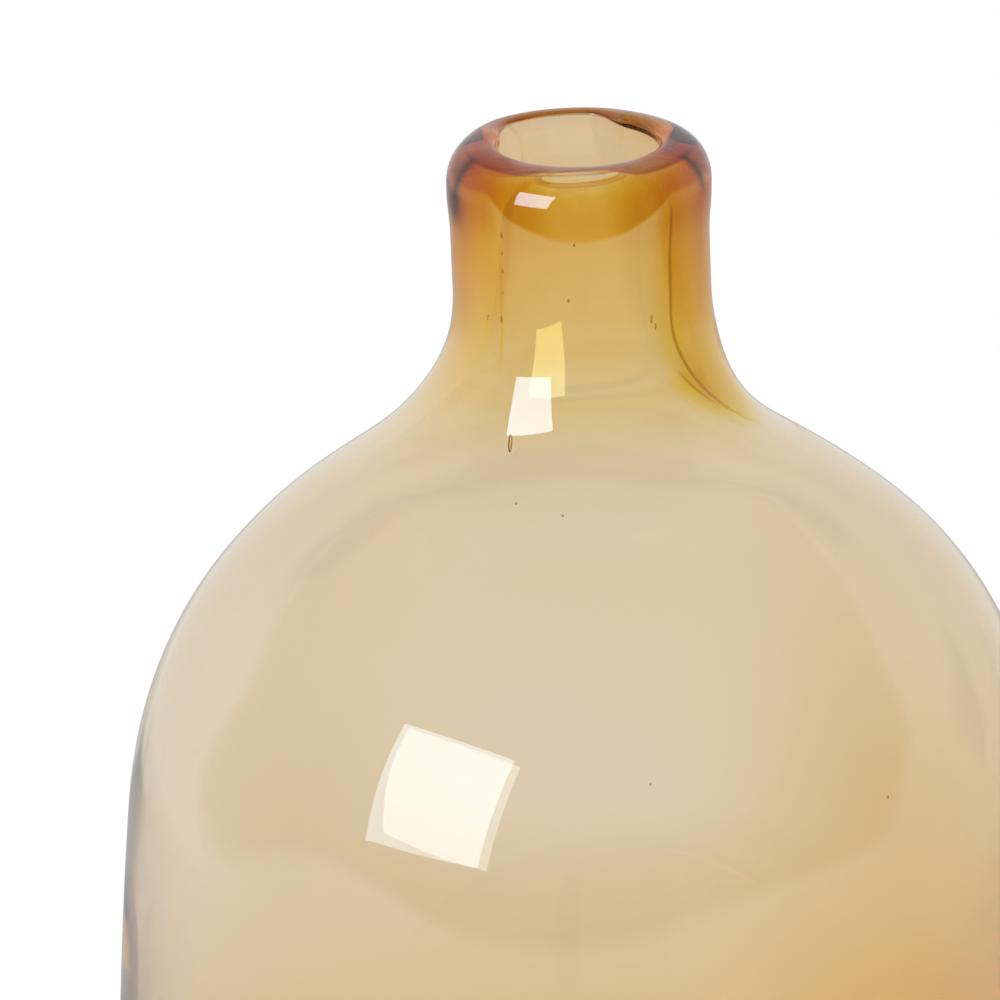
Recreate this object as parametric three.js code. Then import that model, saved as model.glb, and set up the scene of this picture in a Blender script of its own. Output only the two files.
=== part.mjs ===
// A mouth-blown amber glass bottle vase, in millimetres, +Z up, standing on z = 0.
// A thin domed body draws in to a thick-walled neck, which ends in a heavy rounded lip.
// Its three gathers of glass are turned about the vase's own axis and meet on flat seams.

import * as THREE from 'three';

// Driving dimensions: the whole vase
const HEIGHT = 300;
const BODY_RADIUS = 97.1;

// The lip. Depths are measured down from the lip's crest.
const MOUTH_RADIUS = 15.8;
const MOUTH_DEPTH = 1.6;
const LIP_INNER_ROUND = 2.1;
const LIP_OUTER_ROUND = 7.9;
const LIP_BEAD_DEPTH = 8.75;
const LIP_WRAP_DEPTH = 20;

// The neck
const BORE_RADIUS = 16.2;
const NECK_WALL = 9.05;
const NECK_DEPTH = 30;

// The ring where the neck's hollow curve turns into the shoulder's round one
const COLLAR_RADIUS = 45.8;
const COLLAR_DEPTH = 66;
const COLLAR_SLOPE = 35.6;
const COLLAR_WALL = 3.5;

// The ring where the shoulder has turned down into the wall
const WALL_TOP_RADIUS = 92.15;
const WALL_TOP_DEPTH = 138.6;
const WALL_TOP_SLOPE = 84.8;
const BODY_WALL = 2.3;

// The inner ring below which the wall thickens towards the heel
const INNER_WALL_RADIUS = 92.4;
const INNER_WALL_HEIGHT = 126;
const INNER_WALL_SLOPE = 86.4;

// The heel and the bottom. Heights are measured up from the standing ring.
const HEEL_HEIGHT = 45.3;
const HEEL_WALL = 9.5;
const STANDING_RING_RADIUS = 68;
const STANDING_RING_WIDTH = 8;
const BASE_PAD_HEIGHT = 9;
const FLOOR_WALL = 4;
const FLOOR_RADIUS = 60;
const FLOOR_DOME = 2;
const PUNT_RISE = 5.5;
const PONTIL_RADIUS = 15;
const PONTIL_DEPTH = 0.8;

// How far each ring's tangent reaches along the profile's curves
const NECK_REACH = 19.5;
const COLLAR_REACH_UP = 10.7;
const COLLAR_REACH_DOWN = 21.2;
const BORE_REACH = 20;
const INNER_COLLAR_REACH_UP = 15;
const WALL_TOP_REACH_UP = 45.1;
const WALL_TOP_REACH_DOWN = 37.4;
const HEEL_REACH = 44.6;
const INNER_WALL_REACH_UP = 12;
const INNER_WALL_REACH_DOWN = 27;

// Facets: sides of each turned piece, and steps along a curve of the profile
const SIDES = 60;
const SHORT_STEPS = 4;
const LONG_STEPS = 8;

// Rings that several pieces share
const crestRadius = MOUTH_RADIUS + LIP_INNER_ROUND;
const beadRadius = crestRadius + LIP_OUTER_ROUND;
const neckRadius = BORE_RADIUS + NECK_WALL;
const lipSeam = HEIGHT - LIP_WRAP_DEPTH;
const standingRingInner = STANDING_RING_RADIUS - STANDING_RING_WIDTH;
const heelSeamAngle = -Math.asin((HEEL_HEIGHT - BASE_PAD_HEIGHT) / HEEL_HEIGHT);
const quarterTurn = Math.PI / 2;

const ring = (radius, height) => new THREE.Vector2(radius, height);

// A direction along the profile, as an angle below the horizontal, heading outwards
function downSlope(degrees) {
  const angle = THREE.MathUtils.degToRad(degrees);
  return new THREE.Vector2(Math.cos(angle), -Math.sin(angle));
}

const straightDown = downSlope(90);
const collarSlope = downSlope(COLLAR_SLOPE);
const wallTopSlope = downSlope(WALL_TOP_SLOPE);
const innerWallSlope = downSlope(INNER_WALL_SLOPE);

const along = (start, direction, distance) => start.clone().addScaledVector(direction, distance);

// The inner ring across the wall from an outer one, square to the wall's slope
function acrossWall(outer, slope, wall) {
  const inward = new THREE.Vector2(slope.y, -slope.x);
  return along(outer, inward, wall);
}

// A stretch of profile between two rings, both with their slopes and reaches
function flow(upper, upperSlope, upperReach, lower, lowerSlope, lowerReach) {
  const upperHandle = along(upper, upperSlope, upperReach);
  const lowerHandle = along(lower, lowerSlope, -lowerReach);
  return new THREE.CubicBezierCurve(upper, upperHandle, lowerHandle, lower);
}

// A round stretch of profile on an ellipse, between two angles
function rounding(centre, width, height, from, to) {
  return new THREE.EllipseCurve(centre.x, centre.y, width, height, from, to, to < from);
}

const straight = (from, to) => new THREE.LineCurve(from, to);

// Points on a curve, going up or down it
const stepsOf = (curve, steps) => curve.getPoints(steps);
const stepsBack = (curve, steps) => curve.getPoints(steps).reverse();

// Joins stretches into one profile, without the point that two of them share
function profile(...stretches) {
  const points = [];
  for (const stretch of stretches) {
    const shared = points.length > 0 ? 1 : 0;
    points.push(...stretch.slice(shared));
  }
  return points;
}

const amberGlass = new THREE.MeshStandardMaterial({
  color: 0xc99a4e,
  roughness: 0.05,
  metalness: 0,
  transparent: true,
  opacity: 0.6,
});

// A solid of revolution about +Z, named for the gather of glass it is
function turned(name, points) {
  const geometry = new THREE.LatheGeometry(points, SIDES);
  geometry.rotateX(quarterTurn);
  const mesh = new THREE.Mesh(geometry, amberGlass);
  mesh.name = name;
  return mesh;
}

// The rings of the outer profile, from the top down
const lipSeamOuter = ring(neckRadius, lipSeam);
const neckOuter = ring(neckRadius, HEIGHT - NECK_DEPTH);
const collarOuter = ring(COLLAR_RADIUS, HEIGHT - COLLAR_DEPTH);
const wallTopOuter = ring(WALL_TOP_RADIUS, HEIGHT - WALL_TOP_DEPTH);
const heelOuter = ring(BODY_RADIUS, HEEL_HEIGHT);

// The rings of the inner profile, from the top down
const lipSeamInner = ring(BORE_RADIUS, lipSeam);
const neckInner = ring(BORE_RADIUS, HEIGHT - NECK_DEPTH);
const collarInner = acrossWall(collarOuter, collarSlope, COLLAR_WALL);
const wallTopInner = acrossWall(wallTopOuter, wallTopSlope, BODY_WALL);
const wallInner = ring(INNER_WALL_RADIUS, INNER_WALL_HEIGHT);
const heelInner = ring(BODY_RADIUS - HEEL_WALL, HEEL_HEIGHT);
const floorRim = BASE_PAD_HEIGHT + FLOOR_WALL;
const floorCentre = ring(0, floorRim + FLOOR_DOME);

// The heel is a quarter ellipse from the standing ring to the widest ring, cut by the seam
const heelWidth = BODY_RADIUS - STANDING_RING_RADIUS;
const heelCentre = ring(STANDING_RING_RADIUS, HEEL_HEIGHT);
const padHeel = rounding(heelCentre, heelWidth, HEEL_HEIGHT, -quarterTurn, heelSeamAngle);
const vesselHeel = rounding(heelCentre, heelWidth, HEEL_HEIGHT, heelSeamAngle, 0);
const heelSeamOuter = vesselHeel.getPoint(0);

// The blown vessel: up the outside from the seam with the base pad, down the inside to the floor
function blownVessel() {
  const seam = straight(ring(0, BASE_PAD_HEIGHT), heelSeamOuter);
  const wall = flow(wallTopOuter, wallTopSlope, WALL_TOP_REACH_DOWN, heelOuter, straightDown, HEEL_REACH);
  const shoulder = flow(
    collarOuter, collarSlope, COLLAR_REACH_DOWN,
    wallTopOuter, wallTopSlope, WALL_TOP_REACH_UP,
  );
  const flare = flow(neckOuter, straightDown, NECK_REACH, collarOuter, collarSlope, COLLAR_REACH_UP);
  const neck = straight(neckOuter, lipSeamOuter);
  const neckSeam = straight(lipSeamOuter, lipSeamInner);
  const bore = straight(lipSeamInner, neckInner);
  const innerFlare = flow(
    neckInner, straightDown, BORE_REACH,
    collarInner, collarSlope, INNER_COLLAR_REACH_UP,
  );
  const innerShoulder = flow(
    collarInner, collarSlope, COLLAR_REACH_DOWN,
    wallTopInner, wallTopSlope, WALL_TOP_REACH_UP,
  );
  const innerWall = flow(
    wallTopInner, wallTopSlope, INNER_WALL_REACH_UP,
    wallInner, innerWallSlope, INNER_WALL_REACH_UP,
  );
  const thickeningWall = flow(
    wallInner, innerWallSlope, INNER_WALL_REACH_DOWN,
    heelInner, straightDown, INNER_WALL_REACH_DOWN,
  );
  const innerHeel = rounding(
    ring(FLOOR_RADIUS, HEEL_HEIGHT),
    heelInner.x - FLOOR_RADIUS,
    HEEL_HEIGHT - floorRim,
    0, -quarterTurn,
  );
  const floorEdge = ring(FLOOR_RADIUS, floorRim);
  const floorMiddle = FLOOR_RADIUS / 2;
  const floor = new THREE.CubicBezierCurve(
    floorEdge, ring(floorMiddle, floorRim), ring(floorMiddle, floorCentre.y), floorCentre,
  );
  return profile(
    stepsOf(seam, 1),
    stepsOf(vesselHeel, SHORT_STEPS),
    stepsBack(wall, SHORT_STEPS),
    stepsBack(shoulder, LONG_STEPS),
    stepsBack(flare, LONG_STEPS),
    stepsOf(neck, 1),
    stepsOf(neckSeam, 1),
    stepsOf(bore, 1),
    stepsOf(innerFlare, LONG_STEPS),
    stepsOf(innerShoulder, LONG_STEPS),
    stepsOf(innerWall, SHORT_STEPS),
    stepsOf(thickeningWall, SHORT_STEPS),
    stepsOf(innerHeel, SHORT_STEPS),
    stepsOf(floor, SHORT_STEPS),
  );
}

// The lip wrap: a ring that swells to a bead, rolls over the crest and dips into the mouth
function lipWrap() {
  const seam = straight(lipSeamInner, lipSeamOuter);
  const bead = ring(beadRadius, HEIGHT - LIP_BEAD_DEPTH);
  const beadReach = (LIP_WRAP_DEPTH - LIP_BEAD_DEPTH) / 2;
  const underBead = flow(bead, straightDown, beadReach, lipSeamOuter, straightDown, beadReach);
  const outerRound = rounding(
    ring(crestRadius, bead.y), LIP_OUTER_ROUND, LIP_BEAD_DEPTH, 0, quarterTurn,
  );
  const mouth = ring(MOUTH_RADIUS, HEIGHT - MOUTH_DEPTH);
  const innerRound = rounding(
    ring(crestRadius, mouth.y), LIP_INNER_ROUND, MOUTH_DEPTH, quarterTurn, 2 * quarterTurn,
  );
  const bore = straight(mouth, lipSeamInner);
  return profile(
    stepsOf(seam, 1),
    stepsBack(underBead, SHORT_STEPS),
    stepsOf(outerRound, LONG_STEPS),
    stepsOf(innerRound, LONG_STEPS),
    stepsOf(bore, 1),
  );
}

// The base pad: a punt that rises inside the standing ring, with a ground dish where the pontil was
function basePad() {
  const puntTop = ring(PONTIL_RADIUS, PUNT_RISE);
  const puntFoot = ring(standingRingInner, 0);
  const puntMiddle = (PONTIL_RADIUS + standingRingInner) / 2;
  const pontil = new THREE.QuadraticBezierCurve(
    ring(0, PUNT_RISE + PONTIL_DEPTH), ring(PONTIL_RADIUS / 2, PUNT_RISE + PONTIL_DEPTH), puntTop,
  );
  const punt = new THREE.QuadraticBezierCurve(puntTop, ring(puntMiddle, PUNT_RISE), puntFoot);
  const standingRing = straight(puntFoot, ring(STANDING_RING_RADIUS, 0));
  const seam = straight(heelSeamOuter, ring(0, BASE_PAD_HEIGHT));
  return profile(
    stepsOf(pontil, SHORT_STEPS),
    stepsOf(punt, SHORT_STEPS),
    stepsOf(standingRing, 1),
    stepsOf(padHeel, SHORT_STEPS),
    stepsOf(seam, 1),
  );
}

const vase = new THREE.Group();
vase.add(turned('blown_vessel', blownVessel()));
vase.add(turned('lip_wrap', lipWrap()));
vase.add(turned('base_pad', basePad()));

export default vase;
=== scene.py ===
"""A mouth-blown amber glass bottle vase, standing in a plain white studio.

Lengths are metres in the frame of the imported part: the vase stands on z = 0 and its axis is Z.
Pixels of the photograph are read in its 1000 by 1000 frame.
"""

import math
from collections import namedtuple

import bpy
import numpy as np
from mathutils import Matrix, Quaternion, Vector


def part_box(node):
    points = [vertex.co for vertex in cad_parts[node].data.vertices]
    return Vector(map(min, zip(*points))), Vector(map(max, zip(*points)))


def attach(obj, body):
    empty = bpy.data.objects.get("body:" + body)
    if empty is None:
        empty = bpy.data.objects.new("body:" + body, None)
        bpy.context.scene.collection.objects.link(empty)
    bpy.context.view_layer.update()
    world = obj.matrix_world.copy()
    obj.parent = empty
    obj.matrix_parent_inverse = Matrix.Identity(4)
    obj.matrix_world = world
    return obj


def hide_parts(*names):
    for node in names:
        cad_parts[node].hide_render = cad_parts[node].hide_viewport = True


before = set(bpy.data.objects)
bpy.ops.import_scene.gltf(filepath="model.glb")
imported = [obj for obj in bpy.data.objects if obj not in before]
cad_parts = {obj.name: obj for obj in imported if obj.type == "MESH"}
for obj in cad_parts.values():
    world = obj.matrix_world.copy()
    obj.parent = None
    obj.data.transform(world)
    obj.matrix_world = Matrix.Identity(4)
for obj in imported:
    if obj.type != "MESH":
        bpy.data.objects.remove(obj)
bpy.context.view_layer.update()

MM = 0.001

# Sizes that the frame gives
LIP_LOW, LIP_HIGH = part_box("lip_wrap")
_, VESSEL_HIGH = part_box("blown_vessel")
CREST_HEIGHT = LIP_HIGH.z
LIP_SEAM = LIP_LOW.z
BEAD_RADIUS = LIP_HIGH.x
BODY_RADIUS = VESSEL_HIGH.x

# The lip, with depths measured down from the top of the vase
LIP_BEAD_DEPTH = 8.75 * MM
LipShape = namedtuple("LipShape", "crest_radius crest_depth mouth_radius mouth_depth fullness")
ROUND_LIP = LipShape(17.9 * MM, 0, 15.8 * MM, 1.6 * MM, 2.23)
THIN_LIP = LipShape(21.3 * MM, 0.9 * MM, 20.2 * MM, 1.9 * MM, 3)

# The neck
BORE_RADIUS = 16.2 * MM
BORE_DEPTH = 14 * MM
NECK_WALL = 9.05 * MM
NECK_DEPTH = 30 * MM
NECK_RADIUS = BORE_RADIUS + NECK_WALL
NECK_REACH = 19.5 * MM
BORE_REACH = 34 * MM

# The ring where the neck's hollow curve turns into the shoulder's round one
COLLAR_RADIUS = 45.8 * MM
COLLAR_DEPTH = 66 * MM
COLLAR_SLOPE = math.radians(35.6)
COLLAR_WALL = 3.5 * MM
COLLAR_REACH_UP = 10.7 * MM
COLLAR_REACH_DOWN = 21.2 * MM
INNER_COLLAR_REACH_UP = 20 * MM

# The ring where the shoulder has turned down into the wall
WALL_TOP_RADIUS = 92.15 * MM
WALL_TOP_DEPTH = 138.6 * MM
WALL_TOP_SLOPE = math.radians(84.8)
WALL_TOP_REACH_UP = 45.1 * MM
WALL_TOP_REACH_DOWN = 37.4 * MM
BODY_WALL = 2.3 * MM

# The inner ring below which the wall thickens towards the heel
INNER_WALL_RADIUS = 92.4 * MM
INNER_WALL_HEIGHT = 126 * MM
INNER_WALL_SLOPE = math.radians(86.4)
INNER_WALL_REACH_UP = 12 * MM
INNER_WALL_REACH_DOWN = 27 * MM

# The heel, the floor inside and the underside
HEEL_HEIGHT = 45.3 * MM
HEEL_WALL = 9.5 * MM
HEEL_REACH = 44.6 * MM
STANDING_RING_RADIUS = 68 * MM
STANDING_RING_INNER = 60 * MM
FLOOR_HEIGHT = 13 * MM
FLOOR_RADIUS = 60 * MM
FLOOR_DOME = 2 * MM
PUNT_RISE = 5.5 * MM
PONTIL_RADIUS = 15 * MM
PONTIL_DEPTH = 0.8 * MM

# How finely the glass is turned
SIDES = 192
FINE_STEPS = 14
LONG_STEPS = 30

QUARTER_TURN = math.pi / 2
STRAIGHT_DOWN = QUARTER_TURN


def ring(radius, height):
    """A ring of the profile, as its radius and height."""
    return np.array([radius, height])


def down_slope(angle):
    """The profile's direction at an angle below the horizontal, heading outwards."""
    return np.array([math.cos(angle), -math.sin(angle)])


def across_wall(outer, slope, wall):
    """The inner ring that lies across the wall from an outer one."""
    direction = down_slope(slope)
    return outer + wall * np.array([direction[1], -direction[0]])


def cubic(start, start_handle, end_handle, end, steps):
    """Points on a cubic curve."""
    t = np.linspace(0, 1, steps + 1)[:, None]
    s = 1 - t
    return s**3 * start + 3 * s**2 * t * start_handle + 3 * s * t**2 * end_handle + t**3 * end


def flow(upper, upper_slope, upper_reach, lower, lower_slope, lower_reach, steps):
    """A stretch of profile from an upper ring down to a lower one, with their slopes and reaches."""
    upper_handle = upper + upper_reach * down_slope(upper_slope)
    lower_handle = lower - lower_reach * down_slope(lower_slope)
    return cubic(upper, upper_handle, lower_handle, lower, steps)


def rounding(centre, width, height, start, end, steps, fullness=2):
    """A round stretch of profile between two angles: an ellipse, or squarer where fullness is over 2."""
    angles = np.linspace(start, end, steps + 1)
    across = np.cos(angles)
    up = np.sin(angles)
    across = np.sign(across) * np.abs(across) ** (2 / fullness)
    up = np.sign(up) * np.abs(up) ** (2 / fullness)
    return np.stack([centre[0] + width * across, centre[1] + height * up], -1)


def straight(start, end, steps):
    """A straight stretch of profile."""
    t = np.linspace(0, 1, steps + 1)[:, None]
    return start + t * (end - start)


def chain(*stretches):
    """One profile from stretches that each begin where the last one ends."""
    return np.concatenate([stretches[0]] + [stretch[1:] for stretch in stretches[1:]])


# The outer profile's rings, from the top down
bead = ring(BEAD_RADIUS, CREST_HEIGHT - LIP_BEAD_DEPTH)
lip_foot = ring(NECK_RADIUS, LIP_SEAM)
neck = ring(NECK_RADIUS, CREST_HEIGHT - NECK_DEPTH)
collar = ring(COLLAR_RADIUS, CREST_HEIGHT - COLLAR_DEPTH)
wall_top = ring(WALL_TOP_RADIUS, CREST_HEIGHT - WALL_TOP_DEPTH)
heel = ring(BODY_RADIUS, HEEL_HEIGHT)
foot = ring(STANDING_RING_RADIUS, 0)

# The inner profile's rings, from the top down
bore = ring(BORE_RADIUS, CREST_HEIGHT - BORE_DEPTH)
inner_collar = across_wall(collar, COLLAR_SLOPE, COLLAR_WALL)
inner_wall_top = across_wall(wall_top, WALL_TOP_SLOPE, BODY_WALL)
inner_wall = ring(INNER_WALL_RADIUS, INNER_WALL_HEIGHT)
inner_heel = ring(BODY_RADIUS - HEEL_WALL, HEEL_HEIGHT)
floor_rim = ring(FLOOR_RADIUS, FLOOR_HEIGHT)
floor_middle = ring(0, FLOOR_HEIGHT + FLOOR_DOME)


def outer_profile(lip):
    """The outside, from a lip's crest down the wall and under the foot to the pontil's middle."""
    lip_width = BEAD_RADIUS - lip.crest_radius
    lip_height = LIP_BEAD_DEPTH - lip.crest_depth
    bead_reach = (bead[1] - lip_foot[1]) / 2
    punt_foot = ring(STANDING_RING_INNER, 0)
    punt_top = ring(PONTIL_RADIUS, PUNT_RISE)
    punt_bend = ring((PONTIL_RADIUS + STANDING_RING_INNER) / 2, PUNT_RISE)
    pontil = ring(0, PUNT_RISE + PONTIL_DEPTH)
    pontil_bend = ring(PONTIL_RADIUS / 2, PUNT_RISE + PONTIL_DEPTH)
    return chain(
        rounding(ring(lip.crest_radius, bead[1]), lip_width, lip_height,
                 QUARTER_TURN, 0, LONG_STEPS, lip.fullness),
        flow(bead, STRAIGHT_DOWN, bead_reach, lip_foot, STRAIGHT_DOWN, bead_reach, FINE_STEPS),
        straight(lip_foot, neck, FINE_STEPS),
        flow(neck, STRAIGHT_DOWN, NECK_REACH, collar, COLLAR_SLOPE, COLLAR_REACH_UP, LONG_STEPS),
        flow(collar, COLLAR_SLOPE, COLLAR_REACH_DOWN,
             wall_top, WALL_TOP_SLOPE, WALL_TOP_REACH_UP, LONG_STEPS),
        flow(wall_top, WALL_TOP_SLOPE, WALL_TOP_REACH_DOWN, heel, STRAIGHT_DOWN, HEEL_REACH, LONG_STEPS),
        rounding(ring(STANDING_RING_RADIUS, HEEL_HEIGHT), BODY_RADIUS - STANDING_RING_RADIUS, HEEL_HEIGHT,
                 0, -QUARTER_TURN, LONG_STEPS),
        straight(foot, punt_foot, FINE_STEPS),
        cubic(punt_foot, punt_bend, punt_bend, punt_top, FINE_STEPS),
        cubic(punt_top, pontil_bend, pontil_bend, pontil, FINE_STEPS),
    )


def inner_profile(lip):
    """The inside, from a lip's crest through the mouth and down to the middle of the floor."""
    mouth = ring(lip.mouth_radius, CREST_HEIGHT - lip.mouth_depth)
    rim_width = lip.crest_radius - lip.mouth_radius
    rim_height = lip.mouth_depth - lip.crest_depth
    bend = FLOOR_RADIUS / 2
    return chain(
        rounding(ring(lip.crest_radius, mouth[1]), rim_width, rim_height,
                 QUARTER_TURN, math.pi, LONG_STEPS),
        straight(mouth, bore, LONG_STEPS),
        flow(bore, STRAIGHT_DOWN, BORE_REACH,
             inner_collar, COLLAR_SLOPE, INNER_COLLAR_REACH_UP, LONG_STEPS),
        flow(inner_collar, COLLAR_SLOPE, COLLAR_REACH_DOWN,
             inner_wall_top, WALL_TOP_SLOPE, WALL_TOP_REACH_UP, LONG_STEPS),
        flow(inner_wall_top, WALL_TOP_SLOPE, INNER_WALL_REACH_UP,
             inner_wall, INNER_WALL_SLOPE, INNER_WALL_REACH_UP, FINE_STEPS),
        flow(inner_wall, INNER_WALL_SLOPE, INNER_WALL_REACH_DOWN,
             inner_heel, STRAIGHT_DOWN, INNER_WALL_REACH_DOWN, LONG_STEPS),
        rounding(ring(FLOOR_RADIUS, HEEL_HEIGHT), inner_heel[0] - FLOOR_RADIUS, HEEL_HEIGHT - FLOOR_HEIGHT,
                 0, -QUARTER_TURN, LONG_STEPS),
        cubic(floor_rim, ring(bend, FLOOR_HEIGHT), ring(bend, floor_middle[1]), floor_middle, FINE_STEPS),
    )


# How the hand-worked glass strays from a true turning: heights and shifts in millimetres, top down.
# The whole wall strays along X and the inside strays further. The far side of the bore's wall is thinner.
WALL_ASIDE = ((285, 0), (262, 0.35), (242, -0.8), (226, 0), (212, 0.5), (170, 0))
INSIDE_ASIDE = (
    (299, 0), (290, 0.6), (262, 0.6), (240, 0), (215, -0.4), (126, -0.8), (80, -1.8), (45, -1.8), (18, 0),
)
FAR_SIDE_THINNING = ((299, 0), (290, 1.2), (276, 1.2), (255, 0))
FAR_SIDE_SINES = (-0.2, 1)
THIN_LIP_ANGLE = math.radians(106)
THIN_LIP_RIGHT = (math.radians(-50), math.radians(-21))
THIN_LIP_LEFT = (math.radians(62), math.radians(18))
THICK_SPOT_ANGLE = math.radians(-128)
THICK_SPOT_HEIGHT = 168 * MM
THICK_SPOT_SIZE = 21 * MM
THICK_SPOT_STRETCH = 0.9
THICK_SPOT_THICKNESS = 1.3 * MM
LIP_LEAN = 0.26 * MM
LIP_LEAN_START = 270 * MM

# Soft waves of the inner wall: height in millimetres, waves round the vase and waves per metre of height.
# They grow above the floor and die out towards the mouth.
INSIDE_WAVES = ((0.05, 3, 9), (0.04, 5, -14), (0.03, 8, 21))
WAVES_FLOOR = (20 * MM, 60 * MM)
WAVES_MOUTH = (CREST_HEIGHT, CREST_HEIGHT - 12 * MM)

# Seeds, the small bubbles in the wall: degrees round from the front, and lengths in millimetres
Seed = namedtuple("Seed", "angle height sunk half_length half_width")
SEEDS = (
    Seed(-26.0, 246.8, 2.4, 2.1, 0.45),
    Seed(-37.5, 286.9, 2.0, 0.55, 0.28),
    Seed(-38.8, 283.0, 2.6, 0.35, 0.2),
    Seed(-38.2, 279.5, 1.8, 0.45, 0.2),
    Seed(-39.4, 275.0, 2.4, 0.35, 0.18),
    Seed(-40.2, 269.5, 2.0, 0.8, 0.22),
    Seed(-48.0, 269.4, 1.6, 0.3, 0.25),
    Seed(-49.5, 268.6, 2.2, 0.25, 0.2),
    Seed(-6.0, 274.9, 2.0, 0.4, 0.22),
    Seed(-2.7, 286.3, 2.4, 0.35, 0.22),
    Seed(33.5, 269.6, 2.0, 0.9, 0.24),
    Seed(35.8, 267.8, 2.3, 0.7, 0.2),
    Seed(-18.5, 238.0, 2.0, 0.3, 0.22),
    Seed(-5.0, 236.8, 1.6, 0.3, 0.2),
    Seed(8.0, 197.6, 1.2, 0.25, 0.2),
    Seed(41.5, 187.5, 1.1, 0.35, 0.22),
)
SEED_SIDES = 12
SEED_RINGS = 6


def smooth(value, start, end):
    """A smooth step from 0 at start to 1 at end."""
    t = np.clip((value - start) / (end - start), 0, 1)
    return t * t * (3 - 2 * t)


def eased(height, knots):
    """A length that eases from knot to knot; each knot is a height and the length there."""
    length = np.full_like(height, knots[0][1])
    for (upper, before), (lower, after) in zip(knots, knots[1:]):
        length = length + (after - before) * smooth(height, upper * MM, lower * MM)
    return length * MM


def hand_worked(radius, angle, height, inner):
    """Places on the hand-worked glass where the plain profile has these radii, angles and heights."""
    waves = np.zeros_like(height)
    for size, round_waves, up_waves in INSIDE_WAVES:
        waves = waves + size * MM * np.sin(round_waves * angle + 2 * math.pi * up_waves * height)
    waves = waves * smooth(height, *WAVES_FLOOR) * smooth(height, *WAVES_MOUTH)
    thinned = eased(height, FAR_SIDE_THINNING) * smooth(np.sin(angle), *FAR_SIDE_SINES)
    round_spot = (angle - THICK_SPOT_ANGLE + math.pi) % (2 * math.pi) - math.pi
    above_spot = (height - THICK_SPOT_HEIGHT) * THICK_SPOT_STRETCH
    off_spot = np.hypot(round_spot * radius, above_spot) / THICK_SPOT_SIZE
    thickened = THICK_SPOT_THICKNESS * np.exp(-off_spot**2 / 2)
    worked = radius + np.where(inner, waves + thinned - thickened, 0)
    x = worked * np.cos(angle) + eased(height, WALL_ASIDE) + np.where(inner, eased(height, INSIDE_ASIDE), 0)
    y = worked * np.sin(angle)
    lean = LIP_LEAN * smooth(height, LIP_LEAN_START, CREST_HEIGHT) * (1 - x / BEAD_RADIUS) / 2
    return np.stack([x, y, height - lean], -1)


def seed_shell(seed, outer):
    """The places and faces of one seed, whose faces look into the bubble."""
    height = seed.height * MM
    out = np.interp(height, outer[::-1, 1], outer[::-1, 0]) - seed.sunk * MM
    round_angle = math.radians(seed.angle)
    aside = float(eased(np.array(height), WALL_ASIDE))
    middle = np.array([out * math.sin(round_angle) + aside, -out * math.cos(round_angle), height])
    size = np.array([seed.half_width, seed.half_width, seed.half_length]) * MM
    places = [(0, 0, -1), (0, 0, 1)]
    for k in range(1, SEED_RINGS):
        up = math.pi * k / SEED_RINGS - QUARTER_TURN
        for j in range(SEED_SIDES):
            turn = 2 * math.pi * j / SEED_SIDES
            places.append((math.cos(up) * math.cos(turn), math.cos(up) * math.sin(turn), math.sin(up)))
    faces = []
    top = 2 + (SEED_RINGS - 2) * SEED_SIDES
    for j in range(SEED_SIDES):
        k = (j + 1) % SEED_SIDES
        faces.append((0, 2 + j, 2 + k))
        faces.append((1, top + k, top + j))
        for row in range(2, top, SEED_SIDES):
            faces.append((row + j, row + SEED_SIDES + j, row + SEED_SIDES + k, row + k))
    return middle + size * np.array(places), faces


def turned_mesh(name):
    """The vase's closed skin, up the outside and down the inside, with the seeds in its wall."""
    angles = np.linspace(0, 2 * math.pi, SIDES, endpoint=False)[None, :]
    outer = outer_profile(ROUND_LIP)
    rings = chain(outer[::-1], inner_profile(ROUND_LIP))
    thin_rings = chain(outer_profile(THIN_LIP)[::-1], inner_profile(THIN_LIP))
    middle = rings[1:-1, None]
    thin_middle = thin_rings[1:-1, None]
    from_thin = (angles - THIN_LIP_ANGLE + math.pi) % (2 * math.pi) - math.pi
    thin = smooth(from_thin, *THIN_LIP_RIGHT) * smooth(from_thin, *THIN_LIP_LEFT)
    plain = middle + thin[..., None] * (thin_middle - middle)
    is_inner = (np.arange(1, len(rings) - 1) >= len(outer))[:, None]
    places = hand_worked(plain[..., 0], angles, plain[..., 1], is_inner).reshape(-1, 3)
    first = len(places)
    last = first + 1
    ends = [(0, 0, rings[0][1]), (0, 0, rings[-1][1])]
    faces = []
    for j in range(SIDES):
        k = (j + 1) % SIDES
        faces.append((first, k, j))
        for i in range(len(middle) - 1):
            row = i * SIDES
            faces.append((row + j, row + k, row + SIDES + k, row + SIDES + j))
        row = (len(middle) - 1) * SIDES
        faces.append((row + j, row + k, last))
    places = np.concatenate([places, ends])
    for seed in SEEDS:
        seed_places, seed_faces = seed_shell(seed, outer)
        faces += [tuple(corner + len(places) for corner in face) for face in seed_faces]
        places = np.concatenate([places, seed_places])
    mesh = bpy.data.meshes.new(name)
    mesh.from_pydata(places.tolist(), [], faces)
    mesh.shade_smooth()
    return mesh


def put(name, mesh):
    """A new object in the scene that shows a mesh."""
    piece = bpy.data.objects.new(name, mesh)
    bpy.context.scene.collection.objects.link(piece)
    return piece


def node(tree, kind, **settings):
    """A new shader node with its settings."""
    made = tree.nodes.new(kind)
    for name, value in settings.items():
        setattr(made, name, value)
    return made


def feed(tree, value, socket):
    """Feeds a socket with a number or with another socket."""
    if isinstance(value, (int, float)):
        socket.default_value = value
    else:
        tree.links.new(value, socket)


def math_node(tree, operation, *values):
    """A Math node fed by sockets or numbers; returns its output."""
    made = node(tree, "ShaderNodeMath", operation=operation)
    for socket, value in zip(made.inputs, values):
        feed(tree, value, socket)
    return made.outputs[0]


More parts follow.
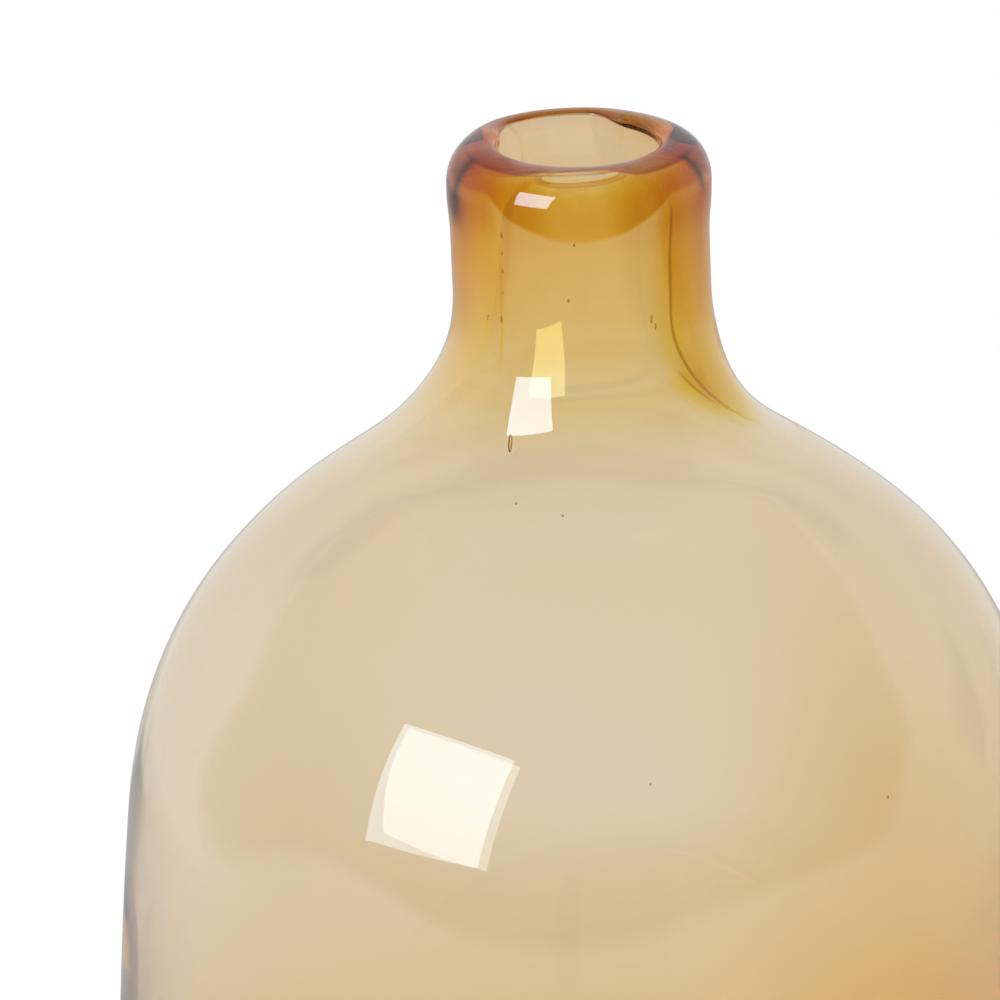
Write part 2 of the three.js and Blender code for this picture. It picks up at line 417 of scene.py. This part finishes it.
def ramp(tree, value, start, end):
    """A smooth step of a value, from 0 at start to 1 at end."""
    made = node(tree, "ShaderNodeMapRange", interpolation_type="SMOOTHSTEP", clamp=True)
    tree.links.new(value, made.inputs["Value"])
    made.inputs["From Min"].default_value = start
    made.inputs["From Max"].default_value = end
    return made.outputs["Result"]


def product(tree, *values):
    """The product of sockets and numbers."""
    result = values[0]
    for value in values[1:]:
        result = math_node(tree, "MULTIPLY", result, value)
    return result


def total(tree, *values):
    """The sum of sockets and numbers."""
    result = values[0]
    for value in values[1:]:
        result = math_node(tree, "ADD", result, value)
    return result


def parts(tree, place):
    """The three numbers of a place."""
    split = node(tree, "ShaderNodeSeparateXYZ")
    tree.links.new(place, split.inputs["Vector"])
    return split.outputs


def from_degrees(start, end):
    """A pair of angles that are written in degrees."""
    return math.radians(start), math.radians(end)


# The glass, and how strongly it takes up red, green and blue light, per metre
GLASS_INDEX = 1.5
GLASS_ROUGHNESS = 0.0
AMBER = (7.5, 33, 91)
SKIN_AMBER = (4, 33, 91)
# The next colour is that of the painted shade in the lip, in the neck's sides and along the bore's edges
SHADE_AMBER = (6.5, 19, 118)
ABSORPTION_DENSITY = 110

# The shader tints light by the root of its colour at each crossing, so lengths on the skin count twice
CROSSINGS_IN_COLOUR = 2

# Part of the colour lies deep in the glass and the rest in its skin, as millimetres of amber at each
# crossing. The skin begins outside the bore. Depths are millimetres below the crest, and a pair of them gives
# where an effect begins and where it is full.
DEEP_SHARE = 0.55
SKIN_RADII = (21 * MM, 22.5 * MM)
SKIN_BODY = 0.55
SKIN_NECK = 4.2
SKIN_NECK_DEPTHS = (62, 20)
SKIN_HEEL = 2.1
SKIN_HEEL_DEPTHS = (174, 255)
SKIN_RIGHT = 1.75
SKIN_RIGHT_REACH = (15 * MM, 70 * MM)
SKIN_RIGHT_DEPTHS = (85, 175)

# Painted shade in the lip's front: deeper amber that stands in for the table's amber shadow seen through it.
# Lengths are millimetres of it. The zone hangs lowest in the middle of the front and is deepest on both
# sides.
LIP_SHADE_DEPTH = 13.5
LIP_SHADE_CURVE = 27
LIP_SHADE_WIDEST = math.radians(44)
LIP_SHADE_WAVE = 1.6
LIP_SHADE_EDGE = 1.2
LIP_SHADE_MIDDLE_LENGTH = 11
LIP_SHADE_MIDDLE_DEPTHS = (1.5, 5)
LIP_SHADE_SIDE_LENGTH = 18
LIP_SHADE_SIDE_ANGLES = from_degrees(9, 27)
LIP_SHADE_END_ANGLES = from_degrees(78, 60)
WAVE_SCALE = 130
WAVE_MIDDLE = 0.5

# Painted shade in the sides of the neck, as deeper amber, less and less downwards
NECK_SIDE_LENGTH = 10
NECK_SIDE_ANGLES = from_degrees(34, 52)
NECK_SIDE_END_ANGLES = from_degrees(105, 85)
NECK_SIDE_DEPTHS = (30, 10)

# Painted shade: dark lines of deeper amber run down the neck along both edges of the bore, where they show
# through the glass. The right one has a broad soft side and turns out on the shoulder.
BORE_EDGE_SHADE_COLOUR = (0.5, 0.55, 0.75)
BORE_EDGE_ANGLE = math.radians(43)
BORE_EDGE_TURN = math.radians(0.05)
BORE_EDGE_TURN_DEPTH = 30
BORE_EDGE_HALF = math.radians(1.5)
BORE_EDGE_LENGTH = 20
BORE_EDGE_DEPTHS = (5, 12)
BORE_EDGE_END_DEPTHS = (60, 46)
BORE_EDGE_SIDE_LENGTH = 14
BORE_EDGE_SIDE_START = math.radians(-15)
BORE_EDGE_SIDE_END = math.radians(60)
BORE_EDGE_SHARE_BEFORE = 0.6
BORE_EDGE_SHARE_BEYOND = 0.4
LEFT_BORE_EDGE_ANGLE = math.radians(-37.5)
LEFT_BORE_EDGE_LENGTH = 5
LEFT_BORE_EDGE_DEPTHS = (13, 17)
LEFT_BORE_EDGE_END_DEPTHS = (42, 36)

# Tints by place. A zone has pairs of degrees from the front and pairs of depths: its tint begins at a pair's
# first number and is full at the second. Some zones tint only the skin, and some tint only light that comes
# into the glass there.
Zone = namedtuple("Zone", "colour sides depths skin_only coming_in", defaults=(False, False))
BODY = Zone((0.985, 0.968, 0.951), (), ((45, 85),))
NECK_FRONT = Zone((1, 1, 0.6), ((100, 80),), ((60, 30),), skin_only=True)
# Painted shade: the neck's edges darker, for light that comes in there
NECK_EDGE_SHADE = Zone((0.9, 0.65, 0.4), ((50, 68), (115, 95)), ((44, 26),), coming_in=True)
# Painted shade: the lip's sides darker, for light that comes in there
LIP_SIDE_SHADE = Zone(
    (0.75, 0.45, 0.3), ((32, 46), (100, 80)), ((0.5, 3), (17, 9)), skin_only=True, coming_in=True
)
LIP_TOPS = Zone((0.45, 0.95, 1), ((62, 74), (110, 98)), ((7, 4),), skin_only=True, coming_in=True)
FAR_LIP = Zone((0.88, 0.75, 0.66), ((95, 115),), ((28, 20),), skin_only=True)
FAR_RIM = Zone((0.4, 0.5, 0.5), ((105, 125),), ((2.1, 1.7),), coming_in=True)
WHOLE_ZONES = (BODY, NECK_FRONT, NECK_EDGE_SHADE, LIP_SIDE_SHADE, LIP_TOPS, FAR_LIP, FAR_RIM)

# Painted grey shade in the lip's sides, most of it on the left
LIP_EDGE_SHADE = Zone((0.17, 0.08, 0.15), ((53, 67), (120, 100)), ((5, 9), (18, 10)), coming_in=True)
LIP_EDGE_SHADE_RIGHT_SHARE = 0.25

# A dark rim along the mouth's near edge, which gets wider at the sides
RIM = Zone((0.32, 0.09, 0.04), ((92, 70),), (), coming_in=True)
RIM_DEPTH = 0.55
RIM_SIDE_DEPTH = 1.65
RIM_SIDE_ANGLES = from_degrees(12, 36)
RIM_EDGE = 0.4

# A dark wavy band that leans down each side of the lip and reaches deeper on the left
BAND_COLOUR = (0.05, 0.06, 0.12)
BAND_ANGLE = math.radians(66)
BAND_LEAN = math.radians(0.4)
BAND_HALF = math.radians(8)
BAND_DEPTHS = (11, 6)
BAND_LEFT_DEEPER = 5

# The front of the lip and neck was polished in the fire after the body
POLISH_HEIGHTS = (215 * MM, 240 * MM)
POLISH_ANGLES = from_degrees(48, 32)

Spot = namedtuple("Spot", "x angle aside left depth skin coming_in wave")


def glass_spot(tree):
    """What is known of a spot on the glass: where it lies, and whether light comes in there from outside."""
    place = node(tree, "ShaderNodeTexCoord").outputs["Object"]
    x, y, z = parts(tree, place)
    angle = math_node(tree, "ARCTAN2", x, product(tree, y, -1))
    radius = math_node(tree, "SQRT", total(tree, product(tree, x, x), product(tree, y, y)))
    backfacing = node(tree, "ShaderNodeNewGeometry").outputs["Backfacing"]
    noise = node(tree, "ShaderNodeTexNoise")
    tree.links.new(place, noise.inputs["Vector"])
    noise.inputs["Scale"].default_value = WAVE_SCALE
    return Spot(
        x=x,
        angle=angle,
        aside=math_node(tree, "ABSOLUTE", angle),
        left=math_node(tree, "LESS_THAN", angle, 0),
        depth=product(tree, math_node(tree, "SUBTRACT", CREST_HEIGHT, z), 1 / MM),
        skin=ramp(tree, radius, *SKIN_RADII),
        coming_in=math_node(tree, "SUBTRACT", 1, backfacing),
        wave=math_node(tree, "SUBTRACT", noise.outputs["Fac"], WAVE_MIDDLE),
    )


def skin_amber(tree, spot):
    """Millimetres of amber in the skin: most on the neck, more at the heel and low on the right."""
    neck_part = product(tree, ramp(tree, spot.depth, *SKIN_NECK_DEPTHS), SKIN_NECK - SKIN_BODY)
    heel_part = product(tree, ramp(tree, spot.depth, *SKIN_HEEL_DEPTHS), SKIN_HEEL - SKIN_BODY)
    right_part = product(tree, ramp(tree, spot.x, *SKIN_RIGHT_REACH),
                         ramp(tree, spot.depth, *SKIN_RIGHT_DEPTHS), SKIN_RIGHT)
    return product(tree, total(tree, neck_part, heel_part, right_part, SKIN_BODY), spot.skin)


def lip_shade(tree, spot):
    """Millimetres of deeper amber painted as shade in the front of the lip, above a wavy edge."""
    widest = math_node(tree, "MINIMUM", spot.aside, LIP_SHADE_WIDEST)
    turn = math_node(tree, "SUBTRACT", 1, math_node(tree, "COSINE", widest))
    edge = math_node(tree, "MULTIPLY_ADD", turn, -LIP_SHADE_CURVE, LIP_SHADE_DEPTH)
    edge = math_node(tree, "MULTIPLY_ADD", spot.wave, LIP_SHADE_WAVE, edge)
    above = math_node(tree, "SUBTRACT", edge, spot.depth)
    middle = product(tree, ramp(tree, spot.depth, *LIP_SHADE_MIDDLE_DEPTHS), LIP_SHADE_MIDDLE_LENGTH)
    sides = product(tree, ramp(tree, spot.aside, *LIP_SHADE_SIDE_ANGLES), LIP_SHADE_SIDE_LENGTH)
    return product(tree, ramp(tree, above, 0, LIP_SHADE_EDGE), total(tree, middle, sides),
                   ramp(tree, spot.aside, *LIP_SHADE_END_ANGLES))


def neck_side_shade(tree, spot):
    """Millimetres of deeper amber painted as shade in the sides of the neck, for light that comes in there.
    """
    at_sides = product(tree, ramp(tree, spot.aside, *NECK_SIDE_ANGLES),
                       ramp(tree, spot.aside, *NECK_SIDE_END_ANGLES))
    high = ramp(tree, spot.depth, *NECK_SIDE_DEPTHS)
    return product(tree, at_sides, high, spot.coming_in, NECK_SIDE_LENGTH)


def right_bore_edge_shade(tree, spot):
    """Painted shade along the bore's right edge: its thin line, and its millimetres of deeper amber with
    those of its soft side.
    """
    turned_out = math_node(tree, "MAXIMUM", math_node(tree, "SUBTRACT", spot.depth, BORE_EDGE_TURN_DEPTH), 0)
    turned_out = product(tree, turned_out, turned_out)
    edge_angle = math_node(tree, "MULTIPLY_ADD", turned_out, BORE_EDGE_TURN, BORE_EDGE_ANGLE)
    from_edge_line = math_node(tree, "SUBTRACT", spot.angle, edge_angle)
    line = ramp(tree, math_node(tree, "ABSOLUTE", from_edge_line), BORE_EDGE_HALF, 0)
    before = product(tree, ramp(tree, from_edge_line, BORE_EDGE_SIDE_START, 0), BORE_EDGE_SHARE_BEFORE)
    beyond = product(tree, ramp(tree, from_edge_line, 0, BORE_EDGE_HALF), BORE_EDGE_SHARE_BEYOND)
    side = product(tree, total(tree, before, beyond), ramp(tree, from_edge_line, BORE_EDGE_SIDE_END, 0))
    side = product(tree, side, BORE_EDGE_SIDE_LENGTH)
    down_neck = product(tree, ramp(tree, spot.depth, *BORE_EDGE_DEPTHS),
                        ramp(tree, spot.depth, *BORE_EDGE_END_DEPTHS))
    length = product(tree, total(tree, product(tree, line, BORE_EDGE_LENGTH), side), down_neck)
    return product(tree, line, down_neck, spot.skin), length


def left_bore_edge_shade(tree, spot):
    """Millimetres of deeper amber in the painted shade line along the bore's left edge."""
    from_edge_line = math_node(tree, "ABSOLUTE", math_node(tree, "SUBTRACT", spot.angle, LEFT_BORE_EDGE_ANGLE))
    return product(tree, ramp(tree, from_edge_line, BORE_EDGE_HALF, 0), LEFT_BORE_EDGE_LENGTH,
                   ramp(tree, spot.depth, *LEFT_BORE_EDGE_DEPTHS), ramp(tree, spot.depth, *LEFT_BORE_EDGE_END_DEPTHS))


def in_zone(tree, spot, zone):
    """How far a spot lies in a zone, from 0 to 1."""
    shares = [ramp(tree, spot.aside, *from_degrees(*sides)) for sides in zone.sides]
    shares += [ramp(tree, spot.depth, *depths) for depths in zone.depths]
    if zone.skin_only:
        shares.append(spot.skin)
    if zone.coming_in:
        shares.append(spot.coming_in)
    return product(tree, *shares)


def in_lip_edge_shade(tree, spot):
    """How far a spot lies in the painted grey shade of the lip's sides."""
    share = math_node(tree, "MULTIPLY_ADD", spot.left, 1 - LIP_EDGE_SHADE_RIGHT_SHARE, LIP_EDGE_SHADE_RIGHT_SHARE)
    return product(tree, in_zone(tree, spot, LIP_EDGE_SHADE), share)


def in_rim(tree, spot):
    """How far a spot lies in the dark rim of the mouth."""
    at_sides = ramp(tree, spot.aside, *RIM_SIDE_ANGLES)
    rim_depth = math_node(tree, "MULTIPLY_ADD", at_sides, RIM_SIDE_DEPTH - RIM_DEPTH, RIM_DEPTH)
    above = math_node(tree, "SUBTRACT", rim_depth, spot.depth)
    return product(tree, in_zone(tree, spot, RIM), ramp(tree, above, 0, RIM_EDGE))


def in_band(tree, spot):
    """How far a spot lies in the dark band at the lip's side."""
    band_angle = math_node(tree, "MULTIPLY_ADD", spot.depth, BAND_LEAN, BAND_ANGLE)
    band_angle = math_node(tree, "MULTIPLY_ADD", spot.wave, BAND_HALF, band_angle)
    from_band = math_node(tree, "ABSOLUTE", math_node(tree, "SUBTRACT", spot.aside, band_angle))
    band_depth = math_node(tree, "MULTIPLY_ADD", spot.left, -BAND_LEFT_DEEPER, spot.depth)
    return product(tree, ramp(tree, from_band, BAND_HALF, 0), ramp(tree, band_depth, *BAND_DEPTHS),
                   spot.coming_in, spot.skin)


def skin_colour(tree):
    """The colour of the glass skin: amber, deeper amber where shade is painted, and tinted by place."""
    spot = glass_spot(tree)
    amber = skin_amber(tree, spot)
    # Painted shade, as deeper amber and dark lines: in the lip's front, the neck's sides and along the bore's
    # edges
    edge_line_shade, edge_shade_length = right_bore_edge_shade(tree, spot)
    shade_length = total(tree, lip_shade(tree, spot), neck_side_shade(tree, spot), edge_shade_length, left_bore_edge_shade(tree, spot))
    shade_length = product(tree, shade_length, spot.skin)
    tints = [(in_zone(tree, spot, zone), zone.colour) for zone in WHOLE_ZONES]
    tints.append((in_lip_edge_shade(tree, spot), LIP_EDGE_SHADE.colour))
    tints.append((in_rim(tree, spot), RIM.colour))
    tints.append((in_band(tree, spot), BAND_COLOUR))
    tints.append((edge_line_shade, BORE_EDGE_SHADE_COLOUR))
    colour = node(tree, "ShaderNodeCombineColor")
    for channel, socket in enumerate(colour.inputs):
        shade_passed = math.exp(-CROSSINGS_IN_COLOUR * SHADE_AMBER[channel] * MM)
        amber_passed = math.exp(-CROSSINGS_IN_COLOUR * SKIN_AMBER[channel] * MM)
        passed = math_node(tree, "POWER", shade_passed, shade_length)
        passed = product(tree, passed, math_node(tree, "POWER", amber_passed, amber))
        for share, tint in tints:
            passed = product(tree, passed, math_node(tree, "MULTIPLY_ADD", share, tint[channel] - 1, 1))
        tree.links.new(passed, socket)
    return colour.outputs["Color"]


def fire_polish(tree):
    """Where the glass has a fire-polished gleam: the front of the lip and neck."""
    x, y, z = parts(tree, node(tree, "ShaderNodeTexCoord").outputs["Object"])
    aside = math_node(tree, "ABSOLUTE", math_node(tree, "ARCTAN2", x, product(tree, y, -1)))
    return product(tree, ramp(tree, z, *POLISH_HEIGHTS), ramp(tree, aside, *POLISH_ANGLES))


def amber_glass():
    """Clear amber glass, tinted in its skin and through its thickness."""
    material = bpy.data.materials.new("amber_glass")
    material.use_nodes = True
    tree = material.node_tree
    shader = tree.nodes["Principled BSDF"]
    tree.links.new(skin_colour(tree), shader.inputs["Base Color"])
    tree.links.new(fire_polish(tree), shader.inputs["Coat Weight"])
    shader.inputs["Coat Roughness"].default_value = GLASS_ROUGHNESS
    shader.inputs["Roughness"].default_value = GLASS_ROUGHNESS
    shader.inputs["IOR"].default_value = GLASS_INDEX
    shader.inputs["Transmission Weight"].default_value = 1
    tint = node(tree, "ShaderNodeVolumeAbsorption")
    passed = [1 - DEEP_SHARE * strength / ABSORPTION_DENSITY for strength in AMBER]
    tint.inputs["Color"].default_value = (*passed, 1)
    tint.inputs["Density"].default_value = ABSORPTION_DENSITY
    tree.links.new(tint.outputs["Volume"], tree.nodes["Material Output"].inputs["Volume"])
    return material


vase = put("glass_vase", turned_mesh("glass_vase"))
vase.data.materials.append(amber_glass())
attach(vase, "root")
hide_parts("blown_vessel", "lip_wrap", "base_pad")

# The camera
PHOTO_SIZE = 1000
SENSOR = 36
CAMERA_DISTANCE = 1.5
CAMERA_ELEVATION = math.radians(18)
CAMERA_ROLL = math.radians(0.94)
PIXEL_AT_LIP = 0.194 * MM
LIP_PIXEL = (578.2, 137.8)


def photo_camera():
    """A camera that puts the middle of the lip's crest on its pixel of the photograph."""
    focal = CAMERA_DISTANCE / PIXEL_AT_LIP
    data = bpy.data.cameras.new("photo_camera")
    data.sensor_width = SENSOR
    data.lens = focal * SENSOR / PHOTO_SIZE
    camera = bpy.data.objects.new("photo_camera", data)
    bpy.context.scene.collection.objects.link(camera)
    view = Vector((0, math.cos(CAMERA_ELEVATION), -math.sin(CAMERA_ELEVATION)))
    half = PHOTO_SIZE / 2
    sight = Vector(((LIP_PIXEL[0] - half) / focal, (half - LIP_PIXEL[1]) / focal, -1))
    towards_lip = view.to_track_quat("-Z", "Y")
    roll = Quaternion((0, 0, 1), -CAMERA_ROLL)
    off_middle = Vector((0, 0, -1)).rotation_difference(sight)
    camera.location = Vector((0, 0, CREST_HEIGHT)) - CAMERA_DISTANCE * view
    camera.rotation_mode = "QUATERNION"
    camera.rotation_quaternion = towards_lip @ roll @ off_middle.inverted()
    bpy.context.scene.camera = camera


photo_camera()

# The softbox, in front of the vase on its left
SOFTBOX_AZIMUTH = math.radians(-43)
SOFTBOX_ELEVATION = math.radians(26.3)
SOFTBOX_DISTANCE = 1.6
SOFTBOX_WIDTH = 0.9
SOFTBOX_HEIGHT = 0.92
SOFTBOX_RADIANCE = 5.2
SOFTBOX_COLOUR = (0.75, 1, 1.25)
SOFTBOX_AIM = Vector((-0.03, -0.077, 0.193))


def softbox():
    """One rectangular softbox, whose image the glass shows as bright panes."""
    data = bpy.data.lights.new("softbox", "AREA")
    data.shape = "RECTANGLE"
    data.size = SOFTBOX_WIDTH
    data.size_y = SOFTBOX_HEIGHT
    data.energy = SOFTBOX_RADIANCE * math.pi * SOFTBOX_WIDTH * SOFTBOX_HEIGHT
    data.color = SOFTBOX_COLOUR
    lamp = bpy.data.objects.new("softbox", data)
    bpy.context.scene.collection.objects.link(lamp)
    level = math.cos(SOFTBOX_ELEVATION)
    towards = Vector((
        math.sin(SOFTBOX_AZIMUTH) * level,
        -math.cos(SOFTBOX_AZIMUTH) * level,
        math.sin(SOFTBOX_ELEVATION),
    ))
    lamp.location = SOFTBOX_AIM + SOFTBOX_DISTANCE * towards
    lamp.rotation_mode = "QUATERNION"
    lamp.rotation_quaternion = (-towards).to_track_quat("-Z", "Y")


softbox()

# The studio round the vase, as strengths of white light. In the glass's gloss the backdrop stands behind the
# vase, with a dimmer ceiling above it, a dimmer table below it and a dark room in front.
BACKDROP_IN_GLOSS = 0.8
BACKDROP_SPREAD = (-0.4, 0.5)
CEILING_TONE = 0.5
CEILING_ELEVATIONS = from_degrees(10, 50)
TABLE_TONE = 0.5
TABLE_ELEVATIONS = from_degrees(-11, -17)
ROOM_TONE = 0.1
FILL_TONE = 0.78

# Through the glass the backdrop is pale, and a little dimmer on the right
BACKDROP_THROUGH_GLASS = 0.79
DIM_SHARE = 0.07
DIM_START = from_degrees(2, 9)
DIM_END = from_degrees(120, 60)


def studio_world():
    """White for the camera, a pale backdrop through the glass and a dark room in its gloss."""
    world = bpy.data.worlds.new("studio")
    bpy.context.scene.world = world
    world.use_nodes = True
    tree = world.node_tree
    links = tree.links
    background = tree.nodes["Background"]
    x, y, z = parts(tree, node(tree, "ShaderNodeTexCoord").outputs["Generated"])
    azimuth = math_node(tree, "ARCTAN2", x, y)
    elevation = math_node(tree, "ARCSINE", z)
    path = node(tree, "ShaderNodeLightPath")
    behind = ramp(tree, y, *BACKDROP_SPREAD)
    ceiling = product(tree, ramp(tree, elevation, *CEILING_ELEVATIONS), CEILING_TONE - BACKDROP_IN_GLOSS)
    table = product(tree, ramp(tree, elevation, *TABLE_ELEVATIONS), TABLE_TONE - BACKDROP_IN_GLOSS)
    height_tone = total(tree, ceiling, table, BACKDROP_IN_GLOSS)
    gloss = math_node(tree, "MAXIMUM", product(tree, behind, height_tone), ROOM_TONE)
    dim = product(tree, ramp(tree, azimuth, *DIM_START), ramp(tree, azimuth, *DIM_END))
    dimming = -DIM_SHARE * BACKDROP_THROUGH_GLASS
    through = math_node(tree, "MULTIPLY_ADD", dim, dimming, BACKDROP_THROUGH_GLASS)

    def choose(share, current, other):
        mix = node(tree, "ShaderNodeMix", data_type="FLOAT")
        links.new(path.outputs[share], mix.inputs["Factor"])
        feed(tree, current, mix.inputs["A"])
        feed(tree, other, mix.inputs["B"])
        return mix.outputs["Result"]

    tone = choose("Is Glossy Ray", FILL_TONE, gloss)
    tone = choose("Is Transmission Ray", tone, through)
    tone = choose("Is Camera Ray", tone, 1.0)
    links.new(tone, background.inputs["Strength"])
    background.inputs["Color"].default_value = (1, 1, 1, 1)


studio_world()

# The floor, which turns to plain white away from the vase
FLOOR_HALF = 4.0
FLOOR_COLOUR = (0.93, 0.9, 0.87, 1)
FLOOR_ROUGHNESS = 0.7
WHITE_DISTANCES = (0.16, 0.26)

# Painted shade: a grey patch on the table, behind the vase on its left, darkens the glass's left edge. Only
# light
# that leaves the glass low down shows it: its last stretch is hardly longer than the patch's distance from
# the vase's axis.
SHADE_PATCH_COLOUR = (0.26, 0.27, 0.29, 1)
SHADE_PATCH_SLANT = 0.322
SHADE_PATCH_EDGE = (-0.049, -0.054)
SHADE_PATCH_END = from_degrees(-50, -40)
SHADE_PATCH_NEAR = (0.22, 0.26)
SHADE_PATCH_FAR = (0.66, 0.58)
SHADE_PATCH_REACH = (0.04, 0.01)

# The vase's own amber shadow on the table behind it, round at its near end and narrower far away
SHADOW_COLOUR = (0.74, 0.71, 0.63, 1)
SHADOW_HALF = 0.099
SHADOW_FAR_HALF = 0.08
SHADOW_FAR = 0.8
SHADOW_MIDDLE = 0.45
SHADOW_ROUND = 0.195
SHADOW_EDGE = (1.035, 0.955)
SHADOW_HEART = (0.4, 1)
SHADOW_FADE = (0.85, 0.42)


def shade_patch_share(tree, x, y, distance, ray_length):
    """Where the floor has the painted grey shade patch."""
    beside = math_node(tree, "MULTIPLY_ADD", y, SHADE_PATCH_SLANT, x)
    azimuth = math_node(tree, "ARCTAN2", x, y)
    reach = math_node(tree, "SUBTRACT", ray_length, distance)
    return product(tree, ramp(tree, beside, *SHADE_PATCH_EDGE), ramp(tree, reach, *SHADE_PATCH_REACH),
                   ramp(tree, azimuth, *SHADE_PATCH_END), ramp(tree, distance, *SHADE_PATCH_NEAR),
                   ramp(tree, distance, *SHADE_PATCH_FAR))


def shadow_share(tree, x, y):
    """Where the floor has the amber shadow, which is strongest towards its edge."""
    nearness = ramp(tree, y, SHADOW_FAR, SHADOW_MIDDLE)
    half = math_node(tree, "MULTIPLY_ADD", nearness, SHADOW_HALF - SHADOW_FAR_HALF, SHADOW_FAR_HALF)
    across = math_node(tree, "DIVIDE", x, half)
    along = math_node(tree, "MINIMUM", math_node(tree, "SUBTRACT", y, SHADOW_MIDDLE), 0)
    along = product(tree, along, 1 / SHADOW_ROUND)
    out = math_node(tree, "SQRT", total(tree, product(tree, across, across), product(tree, along, along)))
    return product(tree, ramp(tree, out, *SHADOW_EDGE), ramp(tree, out, *SHADOW_HEART),
                   ramp(tree, y, *SHADOW_FADE))


def mixed(tree, share, first, second):
    """A shader that goes from the first to the second with a share."""
    mix = node(tree, "ShaderNodeMixShader")
    tree.links.new(share, mix.inputs["Fac"])
    tree.links.new(first, mix.inputs[1])
    tree.links.new(second, mix.inputs[2])
    return mix.outputs["Shader"]


def studio_floor():
    """A pale floor that keeps the vase's shadow near it. Through the glass only its two painted patches show:
    the grey shade patch and the amber shadow.
    """
    mesh = bpy.data.meshes.new("floor")
    corners = [(-FLOOR_HALF, -FLOOR_HALF, 0), (FLOOR_HALF, -FLOOR_HALF, 0)]
    corners += [(FLOOR_HALF, FLOOR_HALF, 0), (-FLOOR_HALF, FLOOR_HALF, 0)]
    mesh.from_pydata(corners, [], [(0, 1, 2, 3)])
    floor = put("floor", mesh)
    material = bpy.data.materials.new("studio_floor")
    material.use_nodes = True
    tree = material.node_tree
    surface = tree.nodes["Principled BSDF"]
    surface.inputs["Base Color"].default_value = FLOOR_COLOUR
    surface.inputs["Roughness"].default_value = FLOOR_ROUGHNESS
    place = node(tree, "ShaderNodeTexCoord").outputs["Object"]
    x, y, _ = parts(tree, place)
    length = node(tree, "ShaderNodeVectorMath", operation="LENGTH")
    tree.links.new(place, length.inputs[0])
    distance = length.outputs["Value"]
    path = node(tree, "ShaderNodeLightPath").outputs

    white = node(tree, "ShaderNodeEmission")
    white_share = product(tree, ramp(tree, distance, *WHITE_DISTANCES), path["Is Camera Ray"])
    plain = mixed(tree, white_share, surface.outputs["BSDF"], white.outputs["Emission"])

    shade_patch = shade_patch_share(tree, x, y, distance, path["Ray Length"])
    patch_share = math_node(tree, "MAXIMUM", shade_patch, shadow_share(tree, x, y))
    patch_share = product(tree, patch_share, path["Is Transmission Ray"])
    tone = node(tree, "ShaderNodeMix", data_type="RGBA")
    tree.links.new(shade_patch, tone.inputs["Factor"])
    tone.inputs["A"].default_value = SHADOW_COLOUR
    tone.inputs["B"].default_value = SHADE_PATCH_COLOUR
    patch = node(tree, "ShaderNodeEmission")
    tree.links.new(tone.outputs["Result"], patch.inputs["Color"])
    empty = node(tree, "ShaderNodeBsdfTransparent")
    in_glass = mixed(tree, patch_share, empty.outputs["BSDF"], patch.outputs["Emission"])

    seen_in_glass = math_node(tree, "MAXIMUM", path["Is Glossy Ray"], path["Is Transmission Ray"])
    whole = mixed(tree, seen_in_glass, plain, in_glass)
    tree.links.new(whole, tree.nodes["Material Output"].inputs["Surface"])
    mesh.materials.append(material)


studio_floor()

# Light that runs down inside the thick neck is turned back many times before it comes out
GLASS_BOUNCES = 48
bpy.context.scene.cycles.max_bounces = GLASS_BOUNCES
bpy.context.scene.cycles.glossy_bounces = GLASS_BOUNCES
bpy.context.scene.cycles.transmission_bounces = GLASS_BOUNCES

bpy.context.scene.view_settings.view_transform = "Standard"
